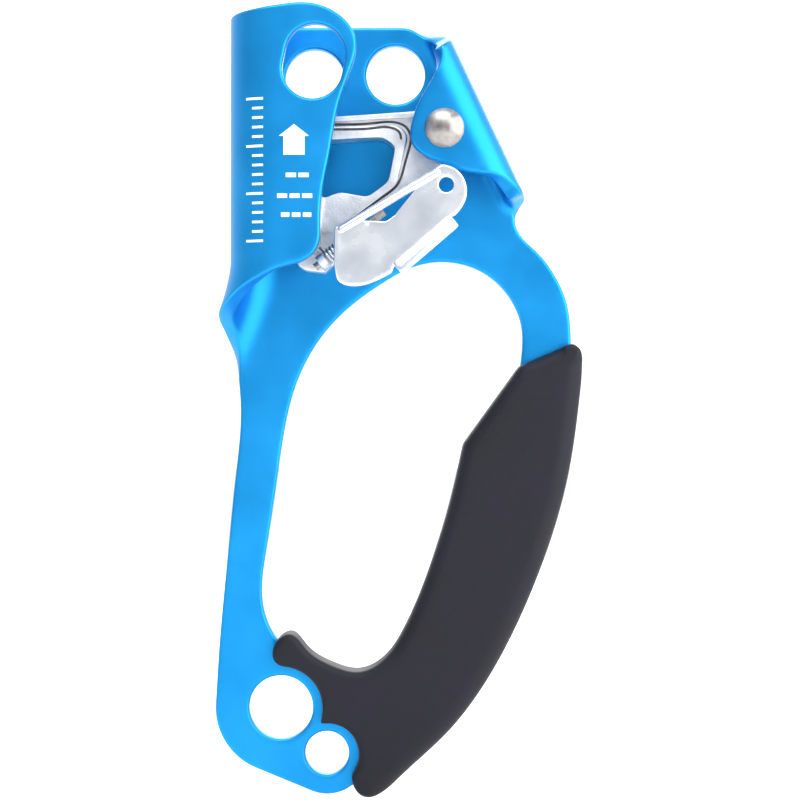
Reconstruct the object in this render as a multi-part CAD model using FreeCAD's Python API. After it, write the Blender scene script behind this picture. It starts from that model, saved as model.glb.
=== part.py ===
import FreeCAD, Part
import math
import os

from FreeCAD import Vector

# A handled rope ascender. Millimetres, +Z up along the rope, -Y towards the user.
# The origin is the centre of the large eye at the foot, in the plate's front face.

# Sheet and folds
PLATE_T = 4.0            # aluminium sheet
CHANNEL_GAP = 15.0       # clear width of the rope channel, plate to front flap
FOLD_GAP = 10.4          # clear width of the cam fold, plate to its flap
FOLD_CORNER_R = 3.0      # inner corner radius of the cam fold
FOLD_REACH = 10.8        # pivot to the outer edge of the cam fold
FOLD_SLANT = 25.1        # the cam fold leans back from upright, degrees

# Eyes: centre X, centre Z, radius
LARGE_EYE = (0.0, 0.0, 7.6)
SMALL_EYE = (11.0, -10.9, 5.2)
HEAD_EYE_L = (8.1, 150.4, 7.0)
HEAD_EYE_R = (27.4, 151.2, 7.0)
FOOT_RIM = 8.1           # large eye to the plate's edge
SMALL_RIM = 4.6          # small eye to the plate's edge
SLOT_RISE = 3.4          # how far the front flap's eye is stretched upwards
SLOT_LEAN = 12.0         # and the way it leans, degrees

# Heights
HEAD_TOP = 162.5         # top edge of the plate
FLAP_TOP = 165.6         # top edge of the front flap
BEND_TOP = 163.6
BEND_LOW = 104.0         # the channel is a full U above this height
# Below it the bend runs out: height, and degrees that the sheet still goes round
BEND_FADE = [(BEND_LOW, 180), (102.0, 160), (99.5, 138), (96.5, 116), (93.5, 88),
             (90.5, 58), (87.0, 36), (83.5, 19), (80.2, 7)]
FADE_STEPS = 30

# Grip
GRIP_COVER = 4.5         # rubber over each face of the plate
GRIP_ROUND = 1.5         # bevel of the grip's outer edges
EYE_LAND = 2.45          # bare metal left round each foot eye

# Cam pivot
PIVOT = (38.8, 137.0)
RIVET_R = 3.0
RIVET_HEAD_R = 4.6
RIVET_HEAD_H = 2.3
WASHER_T = 0.8
WASHER_R = 5.2
TAIL_H = 1.6
BUSH_WALL = 0.6
TURN_CLEAR = 0.06        # radial running clearance of the cam and the catch
HUB_R = 4.7
HUB_FRONT_GAP = 0.4      # hub to flap
SPRING_ROOM = 4.6        # depth behind the hub for the cam's spring
CAM_BACK_GAP = 0.6       # cam to plate

# Cam
RIB_STEP = 1.0           # the window's rim stands this far proud
JAW_HALF = 3.8           # half the depth of the toothed block
JAW_GAP = 3.47           # jaw to the wall of the empty channel, level with the pivot
JAW_GROWTH = 0.35        # log-spiral growth per radian below that
JAW_TURN = 32.0          # degrees of jaw
TOOTH_COUNT = 12
TOOTH_H = 1.1
TOOTH_COLUMN_GAP = 1.0

# Catch
HINGE = (24.7, 117.4)    # right end of the hinge pin
HINGE_RISE = 39.0        # slope of the pin, degrees
PIN_R = 0.9
PIN_LENGTH = 20.6
KNUCKLE_WALL = 1.0       # metal round the pin
KNUCKLE_GAP = 0.3
SHEET_T = 1.4            # catch sheet
SHEET_CLEAR = 1.8        # cam fold to catch sheet
CORD_HOLE = (39.2, 123.5, 1.75)
TAB_REACH = 4.4          # thumb tab, forward of the catch sheet
TAB_FLARE = 3.6          # and how far outwards it leans
COIL_WIRE = 0.45
COIL_TURNS = 3
CAM_COIL_WIRE = 0.55
CAM_COIL_TURNS = 4

channel_r = CHANNEL_GAP / 2
flap_front = CHANNEL_GAP + PLATE_T
fold_front = FOLD_GAP + PLATE_T
bush_r = RIVET_R + BUSH_WALL
cam_front = FOLD_GAP - HUB_FRONT_GAP
jaw_front = channel_r + JAW_HALF
jaw_back = channel_r - JAW_HALF
jaw_r = PIVOT[0] + math.sqrt(channel_r ** 2 - JAW_HALF ** 2) - JAW_GAP
knuckle_r = PIN_R + KNUCKLE_WALL
sheet_back = fold_front + SHEET_CLEAR
hinge_front = sheet_back - KNUCKLE_GAP - knuckle_r


def xz(x, z, front=0.0):
    """A point at X, Z and a distance forward of the plate."""
    return Vector(x, -front, z)


def polar(centre, radius, degrees):
    """X and Z at a radius and an angle about a centre, angles from +X towards +Z."""
    turn = math.radians(degrees)
    return centre[0] + radius * math.cos(turn), centre[1] + radius * math.sin(turn)


def curve(points):
    """A smooth edge through X, Z points."""
    line = Part.BSplineCurve()
    line.interpolate([xz(*p) for p in points])
    return line.toShape()


def straight(points):
    """Straight edges joining X, Z points."""
    return [Part.LineSegment(xz(*a), xz(*b)).toShape() for a, b in zip(points, points[1:])]


def arc(centre, radius, start, end):
    """An arc between two angles about a centre."""
    middle = (start + end) / 2
    spots = [xz(*polar(centre, radius, angle)) for angle in (start, middle, end)]
    return Part.Arc(*spots).toShape()


def prism(edges, back, front):
    """Extrudes a closed X, Z outline from one distance forward of the plate to another."""
    face = Part.Face(Part.Wire(Part.__sortEdges__(edges)))
    face.translate(Vector(0, -back, 0))
    return face.extrude(Vector(0, back - front, 0))


def polygon(points, back, front):
    """A prism on straight sides."""
    return prism(straight(points + points[:1]), back, front)


def rod(centre, radius, back, front):
    """A cylinder along Y between two distances forward of the plate."""
    return Part.makeCylinder(radius, front - back, xz(centre[0], centre[1], back), Vector(0, -1, 0))


def box(low, high):
    """An axis-aligned box between two corners."""
    size = [b - a for a, b in zip(low, high)]
    return Part.makeBox(*size, Vector(*low))


def rounded(points, radius, back, front):
    """A prism on straight sides with its upright corners rounded."""
    solid = polygon(points, back, front)
    upright = [e for e in solid.Edges if abs(e.tangentAt(e.FirstParameter).y) > 0.99]
    return solid.makeFillet(radius, upright)


def single(shape):
    """Merges split faces and returns the one solid that is left."""
    solids = shape.removeSplitter().Solids
    if len(solids) != 1:
        raise ValueError("expected one solid, got %d" % len(solids))
    return solids[0]


# ---------------------------------------------------------------- frame

def fade(z):
    """How far the channel's bend has run off the plate's left edge at a height."""
    run = max(0.0, (BEND_LOW + 2.0 - z) / 27.5)
    return -10.0 * run ** 1.5


def bend_section(z, wrap):
    """The folded sheet at a height, bent by an angle from the plate towards the front."""
    centre = Vector(fade(z), -channel_r, z)
    outer = channel_r + PLATE_T

    def spot(radius, degrees):
        turn = math.radians(degrees)
        return centre + Vector(-radius * math.sin(turn), radius * math.cos(turn), 0)

    edges = [
        Part.Arc(spot(channel_r, 0), spot(channel_r, wrap / 2), spot(channel_r, wrap)).toShape(),
        Part.LineSegment(spot(channel_r, wrap), spot(outer, wrap)).toShape(),
        Part.Arc(spot(outer, wrap), spot(outer, wrap / 2), spot(outer, 0)).toShape(),
        Part.LineSegment(spot(outer, 0), spot(channel_r, 0)).toShape(),
    ]
    return Part.Wire(edges)


def fade_stations():
    """The bend's run-out as many close stations on one smooth line through the chosen ones."""
    line = Part.BSplineCurve()
    line.interpolate([Vector(z, wrap, 0) for z, wrap in BEND_FADE])
    low, high = line.FirstParameter, line.LastParameter
    spots = [line.value(low + (high - low) * step / FADE_STEPS) for step in range(FADE_STEPS + 1)]
    return [(spot.x, spot.y) for spot in spots]


def channel_bend():
    """The rope channel's bend: a full half turn above, fading out into the flat arm below."""
    upper = Part.makeLoft([bend_section(BEND_TOP, 180), bend_section(BEND_LOW, 180)], True, True)
    lower = Part.makeLoft([bend_section(z, wrap) for z, wrap in fade_stations()], True, True)
    return upper.fuse(lower)


def front_flap():
    """The flap in front of the rope, with its stretched eye."""
    edges = [
        curve([(0.2, 165.3), (7.6, FLAP_TOP), (12.2, 164.2), (15.5, 161.9), (17.6, 159.1),
               (18.3, 155.7), (17.3, 151.0), (14.1, 141.8), (12.2, 131.4), (10.4, 122.1),
               (9.9, 114.0), (9.6, 109.9), (8.1, 107.3), (5.3, 105.5), (0.2, BEND_LOW)]),
        *straight([(0.2, BEND_LOW), (fade(BEND_LOW), BEND_LOW), (0.0, BEND_TOP), (0.2, 165.3)]),
    ]
    flap = prism(edges, CHANNEL_GAP, flap_front)
    low = HEAD_EYE_L[:2]
    high = polar(low, SLOT_RISE, 90 - SLOT_LEAN)
    radius = HEAD_EYE_L[2]
    slot = [arc(high, radius, -SLOT_LEAN, 180 - SLOT_LEAN),
            arc(low, radius, 180 - SLOT_LEAN, 360 - SLOT_LEAN),
            *straight([polar(high, radius, 180 - SLOT_LEAN), polar(low, radius, 180 - SLOT_LEAN)]),
            *straight([polar(high, radius, -SLOT_LEAN), polar(low, radius, -SLOT_LEAN)])]
    return flap.cut(prism(slot, CHANNEL_GAP - 1, flap_front + 1))


def cam_fold():
    """The slanted fold on the right, which carries the front of the cam's rivet."""
    reach = PIVOT[0] + FOLD_REACH
    outer = box((PIVOT[0] - 14, -fold_front, PIVOT[1] - 30), (reach, PLATE_T, PIVOT[1] + 30))
    inner = box((PIVOT[0] - 15, -FOLD_GAP, PIVOT[1] - 31), (reach - PLATE_T, 0, PIVOT[1] + 31))

    def far_edges(solid, limit):
        long_edges = [e for e in solid.Edges if e.Length > 55]
        return [e for e in long_edges if e.Vertexes[0].X > limit]

    outer = outer.makeFillet(FOLD_CORNER_R + PLATE_T, far_edges(outer, PIVOT[0]))
    inner = inner.makeFillet(FOLD_CORNER_R, far_edges(inner, PIVOT[0]))
    sheet = outer.cut(inner)
    sheet.rotate(xz(*PIVOT), Vector(0, 1, 0), -FOLD_SLANT)
    middle = FOLD_GAP / 2
    flap_edges = [
        curve([(38.1, 156.5), (38.0, 152.7), (36.4, 149.5), (33.1, 143.7), (31.2, 138.4),
               (31.2, 133.6), (33.8, 130.8), (38.5, 128.7), (43.4, 127.1), (48.7, 126.4),
               (52.9, 125.5), (58.5, 121.0)]),
        *straight([(58.5, 121.0), (66, 130), (44, 164), (36.2, 159.0), (38.1, 156.5)]),
    ]
    front = sheet.common(prism(flap_edges, middle, fold_front + 1))
    back_side = [(26, HEAD_TOP), (29.6, HEAD_TOP), (39.8, 160.0), (41.6, 158.0), (66, 130), (58.5, 112), (44, 112)]
    back = sheet.common(polygon(back_side, -PLATE_T - 1, middle))
    # the sheet's lower edge climbs from the plate round the fold to the flap
    climb = [Vector(20, PLATE_T + 1, 117.6), Vector(20, 0, 118.6), Vector(20, -middle, 122.6),
             Vector(20, -middle - 1, 105), Vector(20, PLATE_T + 1, 105)]
    wedge = Part.Face(Part.makePolygon(climb + climb[:1])).extrude(Vector(60, 0, 0))
    return front.fuse(back.cut(wedge))


def plate():
    """The flat sheet: the handle loop and the head, before its folds."""
    foot = LARGE_EYE[:2]
    foot_r = LARGE_EYE[2] + FOOT_RIM
    toe = SMALL_EYE[:2]
    toe_r = SMALL_EYE[2] + SMALL_RIM
    reach = math.dist(foot, toe)
    lean = math.degrees(math.atan2(toe[1] - foot[1], toe[0] - foot[0]))
    tangent = lean - math.degrees(math.acos((foot_r - toe_r) / reach))
    along = math.radians(FOLD_SLANT)

    def fold_line(t):
        return PIVOT[0] - t * math.sin(along), PIVOT[1] + t * math.cos(along)

    heel = polar(toe, toe_r, -50)
    arm_top = (-10.4, BEND_FADE[-1][0])
    outline = [
        *straight([(0.0, BEND_LOW)] + [(fade(z), z) for z, _ in fade_stations()] + [arm_top]),
        curve([arm_top, (-9.7, 73.0), (-11.0, 54.4), (-12.9, 35.3), (-14.6, 17.1),
               polar(foot, foot_r, 180)]),
        arc(foot, foot_r, -180, tangent),
        *straight([polar(foot, foot_r, tangent), polar(toe, toe_r, tangent)]),
        arc(toe, toe_r, tangent, -50),
        *straight([heel, (22.0, -18.0)]),
        curve([(22.0, -18.0), (26.5, -14.6), (38.4, -3.5), (46.8, 7.7), (55.6, 24.3),
               (62.1, 41.0), (66.5, 57.6), (68.9, 74.5), (69.3, 87.9), (68.1, 97.4),
               (65.5, 103.2), (61.2, 108.9), (57.6, 112.4), (56.0, 116.0), (56.2, 119.4)]),
        *straight([(56.2, 119.4), fold_line(-19.4), fold_line(21.0), (29.6, HEAD_TOP),
                   (0.0, HEAD_TOP), (0.0, BEND_LOW)]),
    ]
    loop = [
        curve([(27.0, 103.2), (18.4, 97.4), (9.8, 88.8), (3.6, 77.3), (0.7, 65.9), (-1.0, 54.4),
               (-3.6, 37.2), (-4.5, 25.7), (-3.1, 20.0), (0.5, 14.6), (6.0, 10.6), (14.4, 7.2),
               (20.5, 6.7), (26.5, 9.9), (31.2, 17.0), (37.0, 30.5), (42.0, 43.5), (46.2, 58.0),
               (50.5, 68.0), (55.6, 76.0), (57.6, 85.0), (57.4, 91.7), (55.0, 97.4),
               (49.5, 103.2), (39.5, 106.5), (31.5, 105.3), (27.0, 103.2)]),
    ]
    sheet = prism(outline, -PLATE_T, 0).cut(prism(loop, -PLATE_T - 1, 1))
    return sheet


def frame():
    """The whole folded blank."""
    blank = plate().fuse([channel_bend(), front_flap(), cam_fold()])
    holes = [rod(eye, eye[2], -PLATE_T - 1, 1) for eye in (LARGE_EYE, SMALL_EYE, HEAD_EYE_L, HEAD_EYE_R)]
    holes.append(rod(PIVOT, RIVET_R, -PLATE_T - 1, fold_front + 1))
    return single(blank.cut(holes))


def grip(core):
    """The rubber overmould, with the frame's own shape as its cavity."""
    foot = LARGE_EYE[:2]
    toe = SMALL_EYE[:2]
    foot_r = LARGE_EYE[2] + EYE_LAND
    toe_r = SMALL_EYE[2] + EYE_LAND
    # where the two bare rings meet
    reach = math.dist(foot, toe)
    near = (foot_r ** 2 - toe_r ** 2 + reach ** 2) / (2 * reach)
    side = math.sqrt(foot_r ** 2 - near ** 2)
    ux, uz = (toe[0] - foot[0]) / reach, (toe[1] - foot[1]) / reach
    notch = (foot[0] + near * ux - side * uz, foot[1] + near * uz + side * ux)
    foot_turn = math.degrees(math.atan2(notch[1] - foot[1], notch[0] - foot[0]))
    toe_turn = math.degrees(math.atan2(notch[1] - toe[1], notch[0] - toe[0]))
    outline = [
        curve([(69.4, 87.0), (71.3, 85.6), (71.9, 83.0), (71.4, 74.5), (69.0, 57.4),
               (64.5, 40.3), (57.9, 23.2), (48.9, 6.1), (40.3, -5.3), (28.2, -16.7),
               (23.2, -20.6), (20.4, -21.1), (17.9, -19.4), polar(toe, toe_r, -40)]),
        arc(toe, toe_r, -40, toe_turn),
        arc(foot, foot_r, foot_turn, 88),
        curve([polar(foot, foot_r, 88), (-1.4, 11.2), (-1.9, 13.6), (0.0, 17.0), (2.2, 18.0),
               (5.9, 14.6), (11.8, 10.6), (18.9, 8.9), (24.6, 11.8), (28.7, 17.5), (34.9, 31.7),
               (40.3, 48.8), (43.6, 63.1)]),
        *straight([(43.6, 63.1), (57.0, 81.6), (69.4, 87.0)]),
    ]
    solid = prism(outline, -PLATE_T - GRIP_COVER, GRIP_COVER)
    rims = [e for e in solid.Edges if max(abs(v.Y - e.Vertexes[0].Y) for v in e.Vertexes) < 0.01]
    solid = solid.makeChamfer(GRIP_ROUND, rims)
    return single(solid.cut(core))


# ---------------------------------------------------------------- cam

def jaw_point(turn, lift=0.0):
    """A point on the cam's log-spiral jaw, turned down from level."""
    radius = jaw_r * math.exp(JAW_GROWTH * math.radians(turn)) + lift
    return polar(PIVOT, radius, 180 + turn)


def jaw_profile():
    """The toothed edge as a row of hooked teeth down the spiral."""
    points = []
    step = JAW_TURN / TOOTH_COUNT
    for tooth in range(TOOTH_COUNT):
        points.append(jaw_point(tooth * step, -TOOTH_H))
        points.append(jaw_point(tooth * step + 0.15 * step))
    points.append(jaw_point(JAW_TURN, -TOOTH_H))
    return points


def along_hinge(distance, radius, length):
    """A cylinder on the catch's hinge, starting a distance left of the pin's right end."""
    lean = math.radians(HINGE_RISE)
    way = Vector(-math.cos(lean), 0, -math.sin(lean))
    start = xz(HINGE[0], HINGE[1], hinge_front) + way * distance
    return Part.makeCylinder(radius, length, start, way)


def hinge_block(distance, length, below, above, back, front):
    """A block square to the hinge, given along it, across it and forward of the plate."""
    block = box((-length, -front, below), (0, -back, above))
    block.rotate(Vector(0, 0, 0), Vector(0, 1, 0), -HINGE_RISE)
    lean = math.radians(HINGE_RISE)
    block.translate(Vector(HINGE[0] - distance * math.cos(lean), 0,
                           HINGE[1] - distance * math.sin(lean)))
    return block


# Stations along the pin, from its right end: where each knuckle starts and its length
CATCH_KNUCKLES = [(6.0, 1.5), (12.0, 1.5)]
CAM_KNUCKLES = [(7.5 + KNUCKLE_GAP, 4.2 - 2 * KNUCKLE_GAP), (17.4, 2.0)]
COIL_START = 13.8
COIL_LENGTH = 3.2


def cam():
    """The cast cam: hub, top bar, rib, toothed block and the catch's two lugs."""
    body_side = [(38.0, PIVOT[1] + HUB_R - 0.1), (32.5, 141.4), (2.0, 139.4), jaw_point(3, -2.5),
                 jaw_point(JAW_TURN, -2.5), (1.0, 107.4), (6.0, 104.0), (10.8, 103.4), (19.2, 111.6), (19.2, 115.9),
                 (37.5, 127.9), (42.6, 134.3)]
    web_front = cam_front - RIB_STEP
    body = polygon(body_side, CAM_BACK_GAP, web_front)
    body = body.fuse(rod(PIVOT, HUB_R, CAM_BACK_GAP, cam_front))
    rib_side = [(4.0, 138.6), (27.9, 139.1), (30.9, 136.0), (27.7, 123.9), (12.6, 112.9), (6.0, 112.0)]
    body = body.fuse(rounded(rib_side, 1.6, CAM_BACK_GAP, cam_front))
    bar_side = [(4.0, 139.4), (32.5, 141.3), (33.6, 140.2), (4.0, 138.2)]
    body = body.fuse(polygon(bar_side, CAM_BACK_GAP, cam_front))
    jaw_side = jaw_profile() + [(1.0, 107.4), (9.5, 108.2), (11.0, 121.0), (6.0, 123.0), (5.0, 134.5), (2.0, 139.0)]
    body = body.fuse(polygon(jaw_side, jaw_back, jaw_front))
    window_side = [(6.6, 134.4), (24.4, 135.3), (27.4, 133.2), (25.7, 124.8), (20.9, 121.2),
                   (14.2, 122.4), (10.2, 120.8), (7.2, 122.6)]
    body = body.cut(rounded(window_side, 1.2, CAM_BACK_GAP - 1, jaw_front + 1))
    # the plain back is cut clear of the channel's inner curve
    body = body.cut(box((-12, -jaw_back, 95), (4.0, 0, 145)))
    for column in (-1, 1):
        middle = (jaw_front + jaw_back) / 2 + column * (jaw_front - jaw_back) / 6
        groove = [jaw_point(t, 3) for t in (-3, JAW_TURN / 2, JAW_TURN + 3)]
        groove += [jaw_point(t, -TOOTH_H) for t in (JAW_TURN + 3, JAW_TURN / 2, -3)]
        half = TOOTH_COLUMN_GAP / 2
        body = body.cut(polygon(groove, middle - half, middle + half))
    for start, length in CAM_KNUCKLES:
        body = body.fuse(along_hinge(start, knuckle_r, length))
        body = body.fuse(hinge_block(start, length, -knuckle_r, knuckle_r, web_front - 1, hinge_front))
    body = body.cut(along_hinge(-1, PIN_R, PIN_LENGTH + 8))
    # room for the closing spring behind the hub, then the bore
    body = body.cut(rod(PIVOT, HUB_R + 0.5, 0, SPRING_ROOM))
    return single(body.cut(rod(PIVOT, bush_r + TURN_CLEAR, 0, fold_front)))


# ---------------------------------------------------------------- catch

def catch():
    """The safety catch: a stamped plate, two knuckles behind it and a thumb tab."""
    front = sheet_back + SHEET_T
    outline = [
        *straight([(13.1, 109.8), (13.1, 113.4), (38.3, 128.3)]),
        curve([(38.3, 128.3), (41.3, 127.3), (43.5, 124.6), (44.0, 121.4), (42.9, 118.4), (41.4, 116.4)]),
        *straight([(41.4, 116.4), (40.4, 116.0), (33.5, 110.1), (27.0, 104.5), (26.6, 103.1)]),
        curve([(26.6, 103.1), (16.2, 100.1), (14.2, 101.0), (13.4, 103.0), (13.1, 109.8)]),
    ]
    sheet = prism(outline, sheet_back, front)
    window = [(19.4, 115.2), (33.1, 123.7), (27.2, 116.4), (25.2, 115.0)]
    sheet = sheet.cut(polygon(window, sheet_back - 1, front + 1))
    sheet = sheet.cut(rod(CORD_HOLE, CORD_HOLE[2], sheet_back - 1, front + 1))
    foot = xz(27.0, 104.5)
    reach = xz(13.4, 11.5)
    outward = Vector(reach.z, 0, -reach.x).normalize()
    tip = front + TAB_REACH
    section = [(-0.7, sheet_back), (0.7, sheet_back), (1.0, front), (TAB_FLARE, tip),
               (TAB_FLARE - SHEET_T, tip), (-0.7, front)]
    corners = [foot + outward * across + Vector(0, -ahead, 0) for across, ahead in section]
    tab = Part.Face(Part.makePolygon(corners + corners[:1])).extrude(reach)
    sheet = sheet.fuse(tab)
    for start, length in CATCH_KNUCKLES:
        sheet = sheet.fuse(along_hinge(start, knuckle_r, length))
        sheet = sheet.fuse(hinge_block(start, length, -knuckle_r, knuckle_r, hinge_front, front))
    return single(sheet.cut(along_hinge(-1, PIN_R + TURN_CLEAR, PIN_LENGTH + 2)))


# ---------------------------------------------------------------- pivots

def cam_rivet():
    """Domed head in front, shank through both walls, closed tail behind the washer."""
    ball_r = (RIVET_HEAD_R ** 2 + RIVET_HEAD_H ** 2) / (2 * RIVET_HEAD_H)
    ball = Part.makeSphere(ball_r, xz(PIVOT[0], PIVOT[1], fold_front + RIVET_HEAD_H - ball_r))
    head = ball.common(rod(PIVOT, ball_r, fold_front, fold_front + ball_r))
    back = -PLATE_T - WASHER_T
    tail = rod(PIVOT, RIVET_R + 1.2, back - TAIL_H, back)
    tail = tail.makeChamfer(0.7, [e for e in tail.Edges if abs(e.BoundBox.YMax - TAIL_H + back) < 0.01])
    return single(rod(PIVOT, RIVET_R, back, fold_front).fuse([head, tail]))


def sleeve(centre, inner, outer, back, front):
    """A tube along Y."""
    return rod(centre, outer, back, front).cut(rod(centre, inner, back - 1, front + 1))


def coil(mean_r, wire_r, turns, start, way, length):
    """A closed coil as a stack of rings on an axis."""
    rings = []
    step = (length - 2 * wire_r) / (turns - 1)
    for turn in range(turns):
        centre = start + way * (wire_r + turn * step)
        rings.append(Part.makeTorus(mean_r, wire_r, centre, way))
    post_r = wire_r * 0.9
    side = way.cross(Vector(0, 0, 1)).normalize() * mean_r
    post = Part.makeCylinder(post_r, length - 2 * wire_r, start + side + way * wire_r, way)
    return single(rings[0].fuse(rings[1:] + [post]))


def cam_spring():
    """Torsion coil round the bush, behind the cam's hub."""
    mean_r = bush_r + 0.25 + CAM_COIL_WIRE
    room = SPRING_ROOM - 0.8
    return coil(mean_r, CAM_COIL_WIRE, CAM_COIL_TURNS, xz(PIVOT[0], PIVOT[1], 0.4), Vector(0, -1, 0), room)


def catch_spring():
    """Torsion coil on the catch's pin, between the catch and the cam's outer lug."""
    lean = math.radians(HINGE_RISE)
    way = Vector(-math.cos(lean), 0, -math.sin(lean))
    start = xz(HINGE[0], HINGE[1], hinge_front) + way * COIL_START
    return coil(PIN_R + 0.2 + COIL_WIRE, COIL_WIRE, COIL_TURNS, start, way, COIL_LENGTH)


os.makedirs("parts", exist_ok=True)
body = frame()
parts = {
    "frame": body,
    "grip": grip(body),
    "cam": cam(),
    "cam_rivet": cam_rivet(),
    "cam_bush": sleeve(PIVOT, RIVET_R, bush_r, 0, FOLD_GAP),
    "rivet_washer": sleeve(PIVOT, RIVET_R, WASHER_R, -PLATE_T - WASHER_T, -PLATE_T),
    "cam_spring": cam_spring(),
    "catch": catch(),
    "catch_pin": along_hinge(0, PIN_R, PIN_LENGTH),
    "catch_spring": catch_spring(),
}
for name, shape in parts.items():
    shape.exportStep("parts/" + name + ".step")
    extent = shape.BoundBox
    print("%-13s %8.0f mm3 valid %s  X %.1f..%.1f Y %.1f..%.1f Z %.1f..%.1f" % (
        name, shape.Volume, shape.isValid(), extent.XMin, extent.XMax, extent.YMin, extent.YMax, extent.ZMin, extent.ZMax))
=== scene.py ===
# The looks of a handled rope ascender: a folded anodised frame, a rubber grip, a cast cam and a plated catch.
# Sizes in the dataclasses are millimetres, in the frame that the CAD model uses: +Z up the rope, -Y towards
# the user, the origin in the large foot eye. Meshes are written in metres.

import logging
import math
from collections.abc import Callable
from dataclasses import dataclass, field
from enum import Enum

import bmesh
import bpy
import numpy as np
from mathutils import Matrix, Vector
from mathutils.geometry import delaunay_2d_cdt
from mathutils.kdtree import KDTree


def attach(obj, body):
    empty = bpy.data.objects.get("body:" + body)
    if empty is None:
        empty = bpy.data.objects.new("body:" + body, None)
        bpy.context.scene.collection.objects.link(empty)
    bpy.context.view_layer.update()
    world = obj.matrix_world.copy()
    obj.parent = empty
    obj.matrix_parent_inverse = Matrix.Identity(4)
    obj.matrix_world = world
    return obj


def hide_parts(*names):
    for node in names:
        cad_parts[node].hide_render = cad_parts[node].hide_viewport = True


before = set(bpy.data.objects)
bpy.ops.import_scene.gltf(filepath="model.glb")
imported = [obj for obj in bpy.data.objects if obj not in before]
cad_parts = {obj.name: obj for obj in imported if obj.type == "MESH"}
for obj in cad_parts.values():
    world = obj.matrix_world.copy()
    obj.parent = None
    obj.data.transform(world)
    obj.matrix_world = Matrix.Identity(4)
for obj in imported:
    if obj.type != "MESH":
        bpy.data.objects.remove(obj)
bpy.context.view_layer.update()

LOG = logging.getLogger("ascender")
MM = 0.001

Points = list[tuple[float, float]]

NOISE_LOW, NOISE_HIGH = 0.3, 0.7  # where nearly all of a noise's values lie
WELD = 1e-7  # metres: points closer than this are one point
CREASE = 40.0  # degrees: edges sharper than this stay sharp
EDGE_SHARE = 0.8  # an edge radius reaches at most this share of the outline's own bend radius
EDGE_FREE, EDGE_LEAST = 50.0, 0.06  # millimetres: edge radius allowed on straight runs and at tight bends
BEND_REACH = 4  # points each way in which a tight bend holds an edge radius down
EVENING = 2.0  # points over which a change of edge radius is evened out
WAVER, WAVER_STEP = 0.001, 78.2  # millimetres, radians: an uneven waver of cap outlines
CLEAR_OF_EDGE = 0.6  # share of the grid spacing that grid points keep from an outline
CUT_TOLERANCE = 1e-6  # millimetres: tolerance of the triangulation


class Body(Enum):
    """The moving bodies that pieces ride on."""

    FRAME = "frame"
    CAM = "cam"
    CATCH = "catch"


# ---------------------------------------------------------------- materials


def linear(code: str) -> tuple[float, float, float, float]:
    """Turns an sRGB hex colour into linear red, green, blue and alpha.

    Args:
        code: Six hex digits.

    Returns:
        The linear colour with alpha 1.
    """
    parts = [int(code[i:i + 2], 16) / 255 for i in (0, 2, 4)]
    return (*[c / 12.92 if c <= 0.04045 else ((c + 0.055) / 1.055) ** 2.4 for c in parts], 1.0)


def per_mm(size: float) -> float:
    """Noise scale for features of a given size.

    Args:
        size: Size of the features, millimetres.

    Returns:
        The scale in metres.
    """
    return 1.0 / (size * MM)


def add(tree: bpy.types.NodeTree, kind: str, settings: dict | None = None,
        links: dict | None = None) -> bpy.types.Node:
    """Adds one node.

    Args:
        tree: The node tree that gets it.
        kind: Blender's node type.
        settings: Socket names or indices, or node properties, and their values.
        links: Input socket names or indices, and the output sockets that feed them.

    Returns:
        The new node.
    """
    node = tree.nodes.new(kind)
    for key, value in (settings or {}).items():
        if isinstance(key, str) and hasattr(node, key):
            setattr(node, key, value)
        else:
            node.inputs[key].default_value = value
    for key, source in (links or {}).items():
        tree.links.new(source, node.inputs[key])
    return node


def ramp(tree: bpy.types.NodeTree, source: bpy.types.NodeSocket, low: tuple, high: tuple,
         start: float = NOISE_LOW, end: float = NOISE_HIGH) -> bpy.types.NodeSocket:
    """Maps a factor to a colour between two stops.

    Args:
        tree: The node tree.
        source: Socket of the factor.
        low: Colour up to the first stop.
        high: Colour from the second stop.
        start: Where the first stop is.
        end: Where the second stop is.

    Returns:
        The colour socket.
    """
    node = add(tree, "ShaderNodeValToRGB", links={"Fac": source})
    stops = node.color_ramp.elements
    stops[0].position, stops[0].color = start, low
    stops[1].position, stops[1].color = end, high
    return node.outputs["Color"]


def spread(tree: bpy.types.NodeTree, source: bpy.types.NodeSocket, low: float, high: float,
           start: float = NOISE_LOW, end: float = NOISE_HIGH) -> bpy.types.NodeSocket:
    """Maps a range of values evenly to another.

    Args:
        tree: The node tree.
        source: Socket of the value.
        low: Result at the range's start.
        high: Result at its end.
        start: Start of the range.
        end: End of the range.

    Returns:
        The result's socket.
    """
    node = add(tree, "ShaderNodeMapRange",
               {"From Min": start, "From Max": end, "To Min": low, "To Max": high}, {"Value": source})
    return node.outputs["Result"]


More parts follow.
